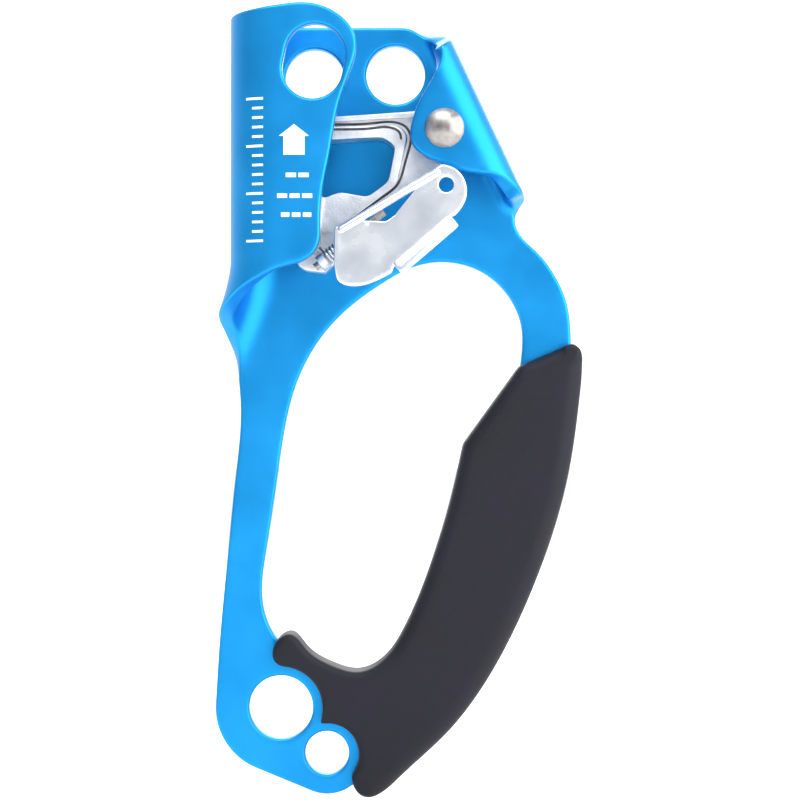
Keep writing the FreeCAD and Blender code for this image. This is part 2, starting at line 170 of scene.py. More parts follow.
@dataclass(frozen=True)
class Finish:
    """A surface finish: two tones of one colour, its gloss range and the grain that shows in it.

    Two noises read Object coordinates: a broad one that moves the tone and the gloss, and a fine one that is the
    surface's relief. Long thin scratches are a third noise stretched along X.
    """

    name: str
    slot: str
    dark: str
    light: str
    metallic: float
    rough_low: float
    rough_high: float
    broad_mm: float
    grain_mm: float
    relief: float
    relief_depth_mm: float
    scratch: float = 0.0
    specular: float = 0.5

    def build(self) -> bpy.types.Material:
        """Makes the material.

        Returns:
            The node material.
        """
        material = bpy.data.materials.new(self.name)
        material.use_nodes = True
        tree = material.node_tree
        tree.nodes.clear()
        place = add(tree, "ShaderNodeTexCoord").outputs["Object"]
        broad = add(tree, "ShaderNodeTexNoise",
                    {"Scale": per_mm(self.broad_mm), "Detail": 3.0}, {"Vector": place})
        grain = add(tree, "ShaderNodeTexNoise",
                    {"Scale": per_mm(self.grain_mm), "Detail": 4.0, "Roughness": 0.6}, {"Vector": place})
        height = grain.outputs["Fac"]
        if self.scratch:
            stretched = add(tree, "ShaderNodeMapping",
                            {"Rotation": (0.2, 0.5, 0.3), "Scale": (0.06, 1.0, 1.0)}, {"Vector": place})
            lines = add(tree, "ShaderNodeTexNoise", {"Scale": per_mm(0.35), "Detail": 2.0},
                        {"Vector": stretched.outputs["Vector"]})
            height = add(tree, "ShaderNodeMath", {"operation": "MULTIPLY_ADD", 1: self.scratch},
                         {0: lines.outputs["Fac"], 2: height}).outputs["Value"]
        colour = ramp(tree, broad.outputs["Fac"], linear(self.dark), linear(self.light))
        gloss = spread(tree, broad.outputs["Fac"], self.rough_low, self.rough_high)
        bump = add(tree, "ShaderNodeBump", {"Strength": self.relief, "Distance": self.relief_depth_mm * MM},
                   {"Height": height})
        shader = add(tree, "ShaderNodeBsdfPrincipled",
                     {"Metallic": self.metallic, "Specular IOR Level": self.specular},
                     {"Base Color": colour, "Roughness": gloss, "Normal": bump.outputs["Normal"]})
        add(tree, "ShaderNodeOutputMaterial", links={"Surface": shader.outputs["BSDF"]})
        return material


# Blasted, then anodised and dyed blue: a satin sheen over a very fine even grain.
ANODISED = Finish("anodised_aluminium_blue", "anodised_aluminium", "1787c8", "1f95d8", 0.90, 0.34, 0.44,
                  18.0, 0.28, 0.4, 0.05)
# Moulded thermoplastic rubber: matt, with the mould's fine spark texture.
RUBBER = Finish("moulded_rubber_charcoal", "grip_rubber", "0e0d16", "14121f", 0.0, 0.55, 0.65,
                14.0, 0.35, 0.35, 0.08, specular=0.28)
# Investment-cast steel, tumbled and zinc plated: bright but gritty.
CAST = Finish("cast_steel_plated", "cast_steel", "babcc1", "dedfe2", 1.0, 0.34, 0.48,
              5.0, 0.45, 0.9, 0.16)
# The same casting in its recesses, where tumbling does not reach: dull and dark.
# Painted shade in the cam's grooves: the same casting's colour made dull and dark for the shade that falls in the
# grooves, with some dull oxide where tumbling does not reach.
PAINTED_GROOVE_SHADE = Finish("cast_steel_groove_painted_shade", "cast_steel", "3a3a3c", "5c5b5a", 0.8, 0.6, 0.75,
                1.5, 0.3, 0.8, 0.1)
# Stamped sheet steel, polished and plated: nearly a mirror, with faint rolling marks.
PLATED = Finish("stamped_steel_plated", "plated_steel", "e4e6ea", "f3f4f7", 1.0, 0.2, 0.3,
                9.0, 0.9, 0.10, 0.03, scratch=0.4)
# Turned stainless steel, handled: fine scratches over a warm grey.
STAINLESS = Finish("stainless_steel_worn", "stainless_steel", "8f8a86", "aaa5a2", 1.0, 0.26, 0.40,
                   1.6, 0.25, 0.35, 0.04, scratch=0.9)
# Drawn spring wire: bright along its length.
WIRE = Finish("spring_wire_bright", "spring_steel", "9fa1a6", "cfd0d4", 1.0, 0.2, 0.32,
              2.0, 0.2, 0.15, 0.02, scratch=0.5)
# Laser marking: the dye is burnt off, which leaves a chalky pale oxide.
MARKING = Finish("laser_marked_oxide", "anodised_aluminium", "dbe6f0", "eef4f9", 0.0, 0.55, 0.7,
                 1.0, 0.15, 0.3, 0.01)


class Palette:
    """Builds each finish once and hands it out."""

    def __init__(self) -> None:
        """Starts with no materials."""
        self.made: dict[str, bpy.types.Material] = {}

    def get(self, finish: Finish) -> bpy.types.Material:
        """The material of a finish, made on first use.

        Args:
            finish: The finish.

        Returns:
            Its material.
        """
        if finish.name not in self.made:
            self.made[finish.name] = finish.build()
        return self.made[finish.name]

    def dress(self, piece: bpy.types.Object, finish: Finish, body: Body, *nodes: str) -> bpy.types.Object:
        """Gives a new piece its material and body.

        Args:
            piece: The piece.
            finish: Its finish.
            body: The body that it rides on.
            nodes: CAD nodes that it stands for.

        Returns:
            The piece.
        """
        piece.data.materials.clear()
        piece.data.materials.append(self.get(finish))
        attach(piece, body.value)
        if nodes:
            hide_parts(*nodes)
        LOG.info("%s: %d faces, %s, rides on %s", piece.name, len(piece.data.polygons), finish.name,
                 body.value)
        return piece

    def paint_node(self, node: str, finish: Finish) -> None:
        """Gives a CAD node that stays visible a better material.

        Args:
            node: The node's name.
            finish: The finish that it gets.
        """
        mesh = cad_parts[node].data
        mesh.materials.clear()
        mesh.materials.append(self.get(finish))
        LOG.info("%s: CAD node, %s", node, finish.name)


# ---------------------------------------------------------------- mesh helpers


def new_piece(name: str, points: np.ndarray, faces: list) -> bpy.types.Object:
    """Makes a smooth-shaded object at the origin.

    Args:
        name: The piece's name.
        points: Vertices, millimetres, one row each.
        faces: Vertex indices of each face.

    Returns:
        The object, with faces pointing outwards.
    """
    mesh = bpy.data.meshes.new(name)
    mesh.from_pydata((np.asarray(points, float) * MM).tolist(), [], faces)
    solid = bmesh.new()
    solid.from_mesh(mesh)
    bmesh.ops.remove_doubles(solid, verts=solid.verts, dist=WELD)
    bmesh.ops.recalc_face_normals(solid, faces=solid.faces)
    solid.to_mesh(mesh)
    solid.free()
    piece = bpy.data.objects.new(name, mesh)
    bpy.context.scene.collection.objects.link(piece)
    mesh.shade_smooth()
    mesh.set_sharp_from_angle(angle=math.radians(CREASE))
    return piece


def ring_faces(rings: int, around: int, closed: bool = True) -> list:
    """Quads that join successive rings of a grid.

    Args:
        rings: Number of rings.
        around: Points in each ring.
        closed: True if each ring joins back to its start.

    Returns:
        Four vertex indices for each quad.
    """
    steps = around if closed else around - 1
    row, column = np.meshgrid(np.arange(rings - 1), np.arange(steps), indexing="ij")
    after = (column + 1) % around
    quads = np.stack([row * around + column, row * around + after, (row + 1) * around + after,
                      (row + 1) * around + column], axis=-1)
    return quads.reshape(-1, 4).tolist()


def end_faces(rings: int, around: int) -> list:
    """The faces that close the first and the last ring of a grid.

    Args:
        rings: Number of rings.
        around: Points in each ring.

    Returns:
        Vertex indices of the two faces.
    """
    last = (rings - 1) * around
    return [list(range(around)), list(range(last, last + around))]


def lengths(path: np.ndarray) -> np.ndarray:
    """Distance along a path at each of its points.

    Args:
        path: The points.

    Returns:
        The distances, from 0.
    """
    return np.concatenate([[0], np.cumsum(np.linalg.norm(np.diff(path, axis=0), axis=1))])


def tube(name: str, path: np.ndarray, radius: float, reference: np.ndarray, sides: int) -> bpy.types.Object:
    """Carries a circle along a path.

    At each point the circle lies across the tangent, its first axis being the tangent crossed with a fixed
    reference direction. The last rings shrink like a quarter circle, which rounds the ends.

    Args:
        name: The piece's name.
        path: Points of the centreline, millimetres.
        radius: The circle's radius.
        reference: A direction that no part of the path follows.
        sides: Points round the circle.

    Returns:
        The tube.
    """
    tangent = np.gradient(path, axis=0)
    tangent /= np.linalg.norm(tangent, axis=1, keepdims=True)
    first = np.cross(tangent, reference)
    first /= np.linalg.norm(first, axis=1, keepdims=True)
    second = np.cross(tangent, first)
    run = lengths(path)
    near_end = np.clip(np.minimum(run, run[-1] - run) / radius, 0, 1)
    scale = np.sqrt(np.clip(1 - (1 - near_end) ** 2, 0.02, 1))
    turn = np.linspace(0, 2 * math.pi, sides, endpoint=False)
    rings = (path[:, None, :] + radius * scale[:, None, None] * (
        np.cos(turn)[None, :, None] * first[:, None, :] + np.sin(turn)[None, :, None] * second[:, None, :]))
    faces = ring_faces(len(path), sides) + end_faces(len(path), sides)
    return new_piece(name, rings.reshape(-1, 3), faces)


def spline(points: Points, step: float) -> np.ndarray:
    """A natural cubic spline through points, by chord length.

    The second derivatives solve the usual tridiagonal system, and each span is then the cubic that they give.

    Args:
        points: The points to pass through.
        step: Spacing of the samples, millimetres.

    Returns:
        Sample points, one row each.
    """
    known = np.array(points, float)
    knots = lengths(known)
    gap = np.diff(knots)
    size = len(known)
    system = np.eye(size)
    inner = np.arange(1, size - 1)
    system[inner, inner - 1] = gap[:-1]
    system[inner, inner] = 2 * (gap[:-1] + gap[1:])
    system[inner, inner + 1] = gap[1:]
    right = np.zeros_like(known)
    slope = np.diff(known, axis=0) / gap[:, None]
    right[1:-1] = 6 * np.diff(slope, axis=0)
    bend = np.linalg.solve(system, right)
    at = np.linspace(0, knots[-1], max(8, int(knots[-1] / step)))
    span = np.clip(np.searchsorted(knots, at, side="right") - 1, 0, size - 2)
    width = gap[span][:, None]
    before = (at - knots[span])[:, None]
    after = width - before
    return (bend[span] * after ** 3 + bend[span + 1] * before ** 3) / (6 * width) + \
        (known[span] / width - bend[span] * width / 6) * after + \
        (known[span + 1] / width - bend[span + 1] * width / 6) * before


def arc(centre: tuple[float, float], radius: float, start: float, end: float, count: int = 40) -> np.ndarray:
    """Points on a circle.

    Args:
        centre: The circle's centre.
        radius: Its radius.
        start: Angle of the first point, degrees.
        end: Angle of the last point, degrees.
        count: Number of points.

    Returns:
        The points.
    """
    turn = np.radians(np.linspace(start, end, count))
    return np.stack([centre[0] + radius * np.cos(turn), centre[1] + radius * np.sin(turn)], axis=1)


def resample(loop: np.ndarray, step: float, soften: float) -> np.ndarray:
    """Spaces a closed loop evenly and rounds its corners.

    Args:
        loop: Points of the loop, without the repeated last one.
        step: New spacing, millimetres.
        soften: Standard deviation of the Gaussian that rounds the corners, millimetres.

    Returns:
        The new loop.
    """
    closed = np.vstack([loop, loop[:1]])
    run = lengths(closed)
    count = int(run[-1] / step)
    at = np.linspace(0, run[-1], count, endpoint=False)
    even = np.stack([np.interp(at, run, closed[:, i]) for i in (0, 1)], axis=1)
    return blur(even, soften / step)


def blur(values: np.ndarray, width: float) -> np.ndarray:
    """Gaussian blur round a closed row of values, as a product of Fourier transforms.

    Args:
        values: One value or one row for each point.
        width: Standard deviation, in points.

    Returns:
        The blurred values.
    """
    count = len(values)
    wave = np.fft.fftfreq(count)
    keep = np.exp(-2 * (math.pi * wave * width) ** 2)
    if values.ndim == 2:
        keep = keep[:, None]
    return np.real(np.fft.ifft(np.fft.fft(values, axis=0) * keep, axis=0))


def ring(centre: tuple[float, float], radius: float, step: float = 0.5) -> np.ndarray:
    """A full circle, without the repeated last point.

    Args:
        centre: The circle's centre.
        radius: Its radius.
        step: Spacing of the points, millimetres.

    Returns:
        The points.
    """
    count = max(24, int(2 * math.pi * radius / step))
    return arc(centre, radius, 0, 360 - 360 / count, count)


def inside(points: np.ndarray, loops: list[np.ndarray]) -> np.ndarray:
    """Even-odd test of points against several closed loops at once.

    Args:
        points: The points.
        loops: The closed loops.

    Returns:
        True for each point that a ray to the right leaves through an odd number of edges.
    """
    start = np.vstack(loops)
    end = np.vstack([np.roll(loop, -1, axis=0) for loop in loops])
    px, py = points[:, :1], points[:, 1:]
    spans = (start[:, 1] > py) != (end[:, 1] > py)
    rise = np.where(end[:, 1] == start[:, 1], 1.0, end[:, 1] - start[:, 1])
    cross = start[:, 0] + (py - start[:, 1]) * (end[:, 0] - start[:, 0]) / rise
    return np.sum(spans & (px < cross), axis=1) % 2 == 1


def normals(loop: np.ndarray) -> np.ndarray:
    """Normals to the right of a closed loop's direction of travel.

    Args:
        loop: The loop.

    Returns:
        A unit normal for each point.
    """
    along = np.roll(loop, -1, axis=0) - np.roll(loop, 1, axis=0)
    along /= np.linalg.norm(along, axis=1, keepdims=True)
    return np.stack([along[:, 1], -along[:, 0]], axis=1)


def turned(loop: np.ndarray, left: bool) -> np.ndarray:
    """Gives a closed loop the wanted direction.

    Args:
        loop: The loop.
        left: True for anticlockwise, False for clockwise.

    Returns:
        The loop, reversed if need be.
    """
    area = np.sum(loop[:, 0] * np.roll(loop[:, 1], -1) - loop[:, 1] * np.roll(loop[:, 0], -1))
    return loop if (area > 0) == left else loop[::-1]


def corner_limit(loop: np.ndarray, out: np.ndarray) -> np.ndarray:
    """The largest edge radius that a loop allows: a share of the tightest bend close by.

    Args:
        loop: The loop.
        out: Its outward normals.

    Returns:
        A radius for each point.
    """
    turn = np.diff(np.unwrap(np.arctan2(out[:, 1], out[:, 0])), append=np.nan)
    turn[-1] = turn[-2]
    length = np.linalg.norm(np.roll(loop, -1, axis=0) - loop, axis=1)
    limit = np.where(turn > 1e-3, EDGE_SHARE * length / np.maximum(turn, 1e-3), EDGE_FREE)
    tight = np.minimum.reduce([np.roll(limit, shift) for shift in range(-BEND_REACH, BEND_REACH + 1)])
    return np.maximum(tight, EDGE_LEAST)


def slab(name: str, loops: list[np.ndarray], rolls: list, thickness: float, place: Callable,
         grid: float = 1.0, steps: int = 5) -> bpy.types.Object:
    """A sheet with rounded edges, cut out flat and then put in place by a function of the whole array.

    Each loop carries a profile of two quarter circles, one for each face: inset r(1 - sin a) at depth
    r(1 - cos a). The faces between the loops are Delaunay triangles over an even grid of points.

    Args:
        name: The piece's name.
        loops: The outline, then the holes, in the flat sheet.
        rolls: The edge radius of each loop, as one value or one for each point.
        thickness: The sheet's thickness.
        place: Turns flat points and their depth under the front face into points in space.
        grid: Spacing of the points between the loops.
        steps: Points across each quarter circle.

    Returns:
        The piece.
    """
    loops = [turned(loop, number == 0) for number, loop in enumerate(loops)]
    angle = np.radians(np.linspace(0, 90, steps))
    points, faces, inner, index = [], [], [], []
    base = 0
    for loop, roll in zip(loops, rolls):
        out = normals(loop)
        radius = np.broadcast_to(np.asarray(roll, float), (len(loop),))
        radius = np.minimum(radius, corner_limit(loop, out))
        radius = np.minimum(radius, blur(radius, EVENING))
        rows = [(radius * (1 - math.sin(a)), radius * (1 - math.cos(a))) for a in angle]
        rows += [(inset, thickness - depth) for inset, depth in reversed(rows)]
        points += [place(loop - out * inset[:, None], depth) for inset, depth in rows]
        faces += [[base + i for i in quad] for quad in ring_faces(len(rows), len(loop))]
        # The waver keeps triangles along straight edges from having no area
        waver = WAVER * np.sin(WAVER_STEP * np.arange(len(loop)) ** 2)
        inner.append(loop - out * (rows[0][0] + waver)[:, None])
        first = base + np.arange(len(loop))
        index.append(np.stack([first, first + (len(rows) - 1) * len(loop)]))
        base += len(rows) * len(loop)
    low, high = inner[0].min(axis=0), inner[0].max(axis=0)
    columns, rows = np.arange(low[0], high[0], grid), np.arange(low[1], high[1], grid)
    lattice = np.stack(np.meshgrid(columns, rows), axis=-1).reshape(-1, 2)
    edge = np.vstack(inner)
    lattice = lattice[inside(lattice, inner)]
    tree = KDTree(len(edge))
    for number, spot in enumerate(edge):
        tree.insert((*spot, 0), number)
    tree.balance()
    gap = np.array([tree.find((*spot, 0))[2] for spot in lattice])
    lattice = lattice[gap > CLEAR_OF_EDGE * grid]
    count = len(lattice)
    points += [place(lattice, np.zeros(count)), place(lattice, np.full(count, thickness))]
    index.append(np.stack([base + np.arange(count), base + count + np.arange(count)]))
    both = np.hstack(index)
    flat = np.vstack([edge, lattice])
    starts = np.cumsum([0] + [len(loop) for loop in inner])
    fixed = [(int(start + i), int(start + (i + 1) % len(loop)))
             for start, loop in zip(starts, inner) for i in range(len(loop))]
    spots, _, triangles, origin, _, _ = delaunay_2d_cdt([Vector(p) for p in flat], fixed, [], 0,
                                                       CUT_TOLERANCE)
    corner = np.array([given[0] if given else -1 for given in origin])
    triangles = np.array(triangles)
    middle = np.array([tuple(p) for p in spots])[triangles].mean(axis=1)
    triangles = corner[triangles[inside(middle, inner)]]
    triangles = triangles[(triangles >= 0).all(axis=1)]
    faces += both[0][triangles].tolist() + both[1][triangles[:, ::-1]].tolist()
    return new_piece(name, np.vstack(points), faces)


# ---------------------------------------------------------------- frame


@dataclass
class FoldedFrame:
    """The anodised sheet frame, cut flat and folded, and the markings on its front flap."""

    sheet: float = 4.0
    edge: float = 0.7
    channel_r: float = 7.5
    bend_low: float = 104.0
    pivot: tuple[float, float] = (38.8, 137.0)
    fold_slant: float = 25.1
    fold_start: float = 3.8
    fold_r: float = 3.0
    fold_wall: float = 4.4
    fold_foot: tuple[float, float] = (-26.5, -21.0)
    eyes: tuple = ((0.0, 0.0, 7.6), (11.0, -10.9, 5.2), (8.1, 150.4, 7.0), (27.4, 151.2, 7.0))
    rivet_r: float = 3.0
    slot_rise: float = 3.4
    slot_lean: float = 12.0
    foot_r: float = 15.7
    toe_r: float = 9.8
    mark_t: float = 0.05
    arrow_centre: tuple[float, float] = (3.9, 133.7)
    arrow_half: float = 3.4
    gauge_x: tuple[float, float] = (-7.3, -3.3)
    gauge_z: tuple[float, float] = (110.4, 143.4)
    gauge_ticks: int = 16
    tick_short: float = 1.4
    tick_half: float = 0.28
    dash_gap: float = 0.3
    dash_half: float = 0.5
    dash_rows: tuple = ((125.6, (1.7, 7.6), 2), (120.8, (-0.3, 8.4), 3), (116.4, (0.6, 8.2), 3))

    def fade(self, z: np.ndarray) -> np.ndarray:
        """Where the channel's bend starts: X = -10 ((106 - z) / 27.5)^1.5 below Z 106, and X 0 above it.

        Args:
            z: Heights.

        Returns:
            X of the bend's start at each height.
        """
        return -10 * (np.maximum(0, self.bend_low + 2 - z) / 27.5) ** 1.5

    def place(self, flat: np.ndarray, depth: np.ndarray) -> np.ndarray:
        """Folds the flat sheet.

        Left of the line X = fade(Z) the sheet follows a half circle of radius channel_r + depth forwards, and then
        runs back to the right. Right of the slanted line it follows a quarter circle, a wall and a second quarter
        circle. Arc lengths are kept half way through the sheet. At its foot the right fold runs out into the flat
        handle over a smooth step 3g^2 - 2g^3.

        Args:
            flat: Points of the flat sheet.
            depth: Their depth under the plate's front face.

        Returns:
            Points in space.
        """
        u, z = flat[:, 0], flat[:, 1]
        line = self.fade(z)
        middle = self.channel_r + self.sheet / 2
        run = np.maximum(line - u, 0)
        turn = np.minimum(run / middle, math.pi)
        past = np.maximum(run - math.pi * middle, 0)
        left = np.stack([np.maximum(u, line) - (self.channel_r + depth) * np.sin(turn) + past,
                         -self.channel_r + (self.channel_r + depth) * np.cos(turn), z], axis=1)
        s, t = self.to_fold(flat)
        quarter = (self.fold_r + self.sheet / 2) * math.pi / 2
        grown = np.clip((t - self.fold_foot[0]) / (self.fold_foot[1] - self.fold_foot[0]), 0, 1)
        share = np.where(u > 20, grown * grown * (3 - 2 * grown), 0)
        over = share * np.maximum(s - self.fold_start, 0)
        second = over - quarter - self.fold_wall
        bent = (np.clip(over / quarter, 0, 1) + np.clip(second / quarter, 0, 1)) * math.pi / 2
        radius = self.fold_r + depth
        s = s - over + radius * np.sin(bent) - np.maximum(second - quarter, 0)
        wall = np.clip(over - quarter, 0, self.fold_wall)
        x, up = self.from_fold(s, t)
        right = np.stack([x, -self.fold_r + radius * np.cos(bent) - wall, up], axis=1)
        return np.where((over > 0)[:, None], right, left)

    def to_fold(self, flat: np.ndarray) -> tuple[np.ndarray, np.ndarray]:
        """Turns X and Z into the cam fold's own axes.

        Args:
            flat: X and Z, one row each.

        Returns:
            Distances from the pivot across the fold's line and along it.
        """
        lean = math.radians(self.fold_slant)
        dx, dz = flat[:, 0] - self.pivot[0], flat[:, 1] - self.pivot[1]
        return dx * math.cos(lean) + dz * math.sin(lean), dz * math.cos(lean) - dx * math.sin(lean)

    def from_fold(self, s: np.ndarray, t: np.ndarray) -> tuple[np.ndarray, np.ndarray]:
        """Turns distances in the cam fold's own axes into X and Z.

        Args:
            s: Distances across the fold's line.
            t: Distances along it.

        Returns:
            X and Z.
        """
        lean = math.radians(self.fold_slant)
        return (self.pivot[0] + s * math.cos(lean) - t * math.sin(lean),
                self.pivot[1] + s * math.sin(lean) + t * math.cos(lean))

    def fold_points(self, points: Points) -> np.ndarray:
        """Flat-sheet points from distances past the fold's start and along it.

        Args:
            points: The two distances of each point.

        Returns:
            Points of the flat sheet.
        """
        over, t = np.array(points, float).T
        return np.stack(self.from_fold(over + self.fold_start, t), axis=1)

    def flap_points(self, points: Points) -> np.ndarray:
        """Flat-sheet points from places on the cam fold's outer face.

        Args:
            points: X and Z of each place.

        Returns:
            Points of the flat sheet.
        """
        s, t = self.to_fold(np.array(points, float))
        middle = self.fold_r + self.sheet / 2
        reach = np.clip((s - self.fold_start) / (self.fold_r + self.sheet), 0, 1)
        over = middle * math.pi + self.fold_wall - middle * np.arcsin(reach)
        over = over + np.maximum(self.fold_start - s, 0)
        return np.stack(self.from_fold(over + self.fold_start, t), axis=1)

    def channel_points(self, points: Points) -> np.ndarray:
        """Flat-sheet points from places on the channel's front flap.

        Args:
            points: X and Z of each place.

        Returns:
            Points of the flat sheet.
        """
        x, z = np.array(points, float).T
        return np.stack([-(math.pi * (self.channel_r + self.sheet / 2) + x), z], axis=1)

    def outline(self) -> np.ndarray:
        """The blank's outline, anticlockwise from the foot.

        Returns:
            The closed loop in the flat sheet.
        """
        outer = spline([(22.0, -18.0), (26.5, -14.6), (38.4, -3.5), (46.8, 7.7), (55.6, 24.3), (62.1, 41.0),
                        (66.5, 57.6), (68.9, 74.5), (69.3, 87.9), (68.1, 97.4), (65.5, 103.2), (61.2, 108.9),
                        (57.6, 112.4), (56.0, 115.6), (56.3, 118.6), (58.7, 122.1)], 0.5)
        wall = self.fold_points([(12.0, -21.5), (15.2, -19.2)])
        flap = self.flap_points([(52.9, 125.5), (48.7, 126.4), (43.4, 127.1), (38.5, 128.7), (33.8, 130.8),
                                 (31.2, 133.6), (31.2, 138.4), (33.1, 143.7), (36.4, 149.5), (38.0, 152.7),
                                 (38.1, 156.5)])
        top = self.fold_points([(12.2, 19.2), (8.0, 20.0), (3.0, 22.8), (0.0, 26.0)])
        fold = spline([*map(tuple, wall), *map(tuple, flap)], 0.5)
        head = np.array([(29.6, 162.5), (0.0, 162.5), (-8.0, 162.8), (-15.0, 163.4), (-25.0, 164.4)])
        channel = self.channel_points([(0.2, 165.2), (7.6, 165.6), (12.2, 164.2), (15.5, 161.9), (17.6, 159.1),
                                       (18.3, 155.7), (17.3, 151.0), (14.1, 141.8), (12.2, 131.4), (10.4, 122.1),
                                       (9.9, 114.0), (9.6, 109.9), (8.1, 107.3), (5.3, 105.5), (0.2, 104.0)])
        height, wrap = np.array([(102, 160), (99.5, 138), (96.5, 116), (93.5, 88), (90.5, 58), (87, 36),
                                 (83.5, 19), (80.2, 7)], float).T
        run = self.fade(height) - np.radians(wrap) * (self.channel_r + self.sheet / 2)
        free = spline([*map(tuple, channel), *zip(run, height), (-9.7, 73.0), (-11.0, 54.4), (-12.9, 35.3),
                       (-14.6, 17.1), (-15.7, 0.0)], 0.5)
        x, z = self.eyes[1][:2]
        low = math.degrees(math.atan2(z, x))
        tangent = low - math.degrees(math.acos((self.foot_r - self.toe_r) / math.hypot(x, z)))
        foot = arc((0, 0), self.foot_r, -180, tangent, 60)
        toe = arc((x, z), self.toe_r, tangent, -50, 40)
        loop = np.vstack([outer, fold, top, head, free, foot[1:], toe])
        return resample(loop, 0.55, 0.5)

    def holes(self) -> list[np.ndarray]:
        """The hand opening, the four eyes, the front flap's long eye and the rivet's two holes.

        Returns:
            The closed loops in the flat sheet.
        """
        hand = [(27.0, 103.2), (18.4, 97.4), (9.8, 88.8), (3.6, 77.3), (0.7, 65.9), (-1.0, 54.4), (-3.6, 37.2),
                (-4.5, 25.7), (-3.1, 20.0), (0.5, 14.6), (6.0, 10.6), (14.4, 7.2), (20.5, 6.7), (26.5, 9.9),
                (31.2, 17.0), (37.0, 30.5), (42.0, 43.5), (46.2, 58.0), (50.5, 68.0), (55.6, 76.0), (57.6, 85.0),
                (57.4, 91.7), (55.0, 97.4), (49.5, 103.2), (39.5, 106.5), (31.5, 105.3), (27.0, 103.2)]
        x, z, radius = self.eyes[2]
        lean = math.radians(90 - self.slot_lean)
        upper = (x + self.slot_rise * math.cos(lean), z + self.slot_rise * math.sin(lean))
        slot = np.vstack([arc(upper, radius, -self.slot_lean, 180 - self.slot_lean, 44),
                          arc((x, z), radius, 180 - self.slot_lean, 360 - self.slot_lean, 44)])
        return [resample(spline(hand, 0.5)[:-1], 0.55, 0.8), *[ring(eye[:2], eye[2]) for eye in self.eyes],
                self.channel_points(slot), ring(self.pivot, self.rivet_r),
                self.flap_points(ring(self.pivot, self.rivet_r))]

    def build(self, palette: Palette) -> None:
        """Makes the frame and its markings.

        Args:
            palette: Where their materials come from.
        """
        loops = [self.outline(), *self.holes()]
        shell = slab("folded_frame", loops, [self.edge] * len(loops), self.sheet, self.place)
        palette.dress(shell, ANODISED, Body.FRAME, "frame")
        for mark in (self.arrow, self.gauge, self.dashes):
            palette.dress(mark(), MARKING, Body.FRAME)

    def depth(self, x: np.ndarray) -> np.ndarray:
        """How far forward the flap's outer face is: flat, then a circle where the bend starts at X 0.

        Args:
            x: Places across the flap.

        Returns:
            Its distance in front of the plate at each place.
        """
        outer = self.channel_r + self.sheet
        return self.channel_r + np.sqrt(outer ** 2 - np.clip(-x, 0, outer * 0.99) ** 2)

    def patch(self, x: tuple[float, float], z: tuple[float, float], across: int = 6) -> tuple[np.ndarray, list]:
        """A thin closed rectangle laid on the flap.

        It is a grid in X and Z with two layers, one just under and one just over the face.

        Args:
            x: Left and right edges.
            z: Lower and upper edges.
            across: Grid steps in X.

        Returns:
            Points and faces.
        """
        along = np.linspace(x[0], x[1], across + 1)
        face = self.depth(along)
        thick = self.mark_t
        outline = [(z[0], thick), (z[1], thick), (z[1], -thick), (z[0], -thick)]
        points = np.concatenate([np.stack([along, -(face + lift), np.full_like(along, height)], axis=1)[:, None]
                                 for height, lift in outline], axis=1)
        faces = ring_faces(across + 1, 4) + [[0, 1, 2, 3], [4 * across + i for i in (3, 2, 1, 0)]]
        return points.reshape(-1, 3), faces

    def patches(self, name: str, spots: list) -> bpy.types.Object:
        """Joins several rectangles into one piece.

        Args:
            name: The piece's name.
            spots: The edges in X and the edges in Z of each rectangle.

        Returns:
            The piece.
        """
        points: list = []
        faces: list = []
        for x, z in spots:
            more, quads = self.patch(x, z)
            faces += [[i + len(points) for i in quad] for quad in quads]
            points += more.tolist()
        return new_piece(name, np.array(points), faces)

    def gauge(self) -> bpy.types.Object:
        """A plain ruler up the side of the channel, with every fifth tick a long one.

        Returns:
            The ticks, as one piece.
        """
        heights = np.linspace(*self.gauge_z, self.gauge_ticks)
        spots = []
        for number, height in enumerate(heights):
            left = self.gauge_x[0] if number % 5 == 0 else self.gauge_x[0] + self.tick_short
            spots.append(((left, self.gauge_x[1]), (height - self.tick_half, height + self.tick_half)))
        return self.patches("gauge_ticks", spots)

    def dashes(self) -> bpy.types.Object:
        """Three rows of plain dashes under the arrow.

        Returns:
            The dashes, as one piece.
        """
        spots = []
        for height, (left, right), count in self.dash_rows:
            pitch = (right - left) / count
            spots += [((left + i * pitch + self.dash_gap, left + (i + 1) * pitch - self.dash_gap),
                       (height - self.dash_half, height + self.dash_half)) for i in range(count)]
        return self.patches("dash_rows", spots)

    def arrow(self) -> bpy.types.Object:
        """A block arrow that points up the rope.

        Returns:
            The arrow.
        """
        cx, cz = self.arrow_centre
        half = self.arrow_half
        side = [(0, half * 1.08), (half * 1.02, half * 0.28), (half * 0.72, half * 0.28), (half * 0.72, -half)]
        outline = np.array(side + [(-x, z) for x, z in reversed(side[1:])], float)
        count = len(outline)
        face = self.channel_r * 2 + self.sheet
        layers = [np.stack([cx + outline[:, 0], np.full(count, -(face + lift)), cz + outline[:, 1]], axis=1)
                  for lift in (self.mark_t, -self.mark_t)]
        faces = ring_faces(2, count) + end_faces(2, count)
        return new_piece("up_arrow", np.vstack(layers), faces)


# ---------------------------------------------------------------- grip


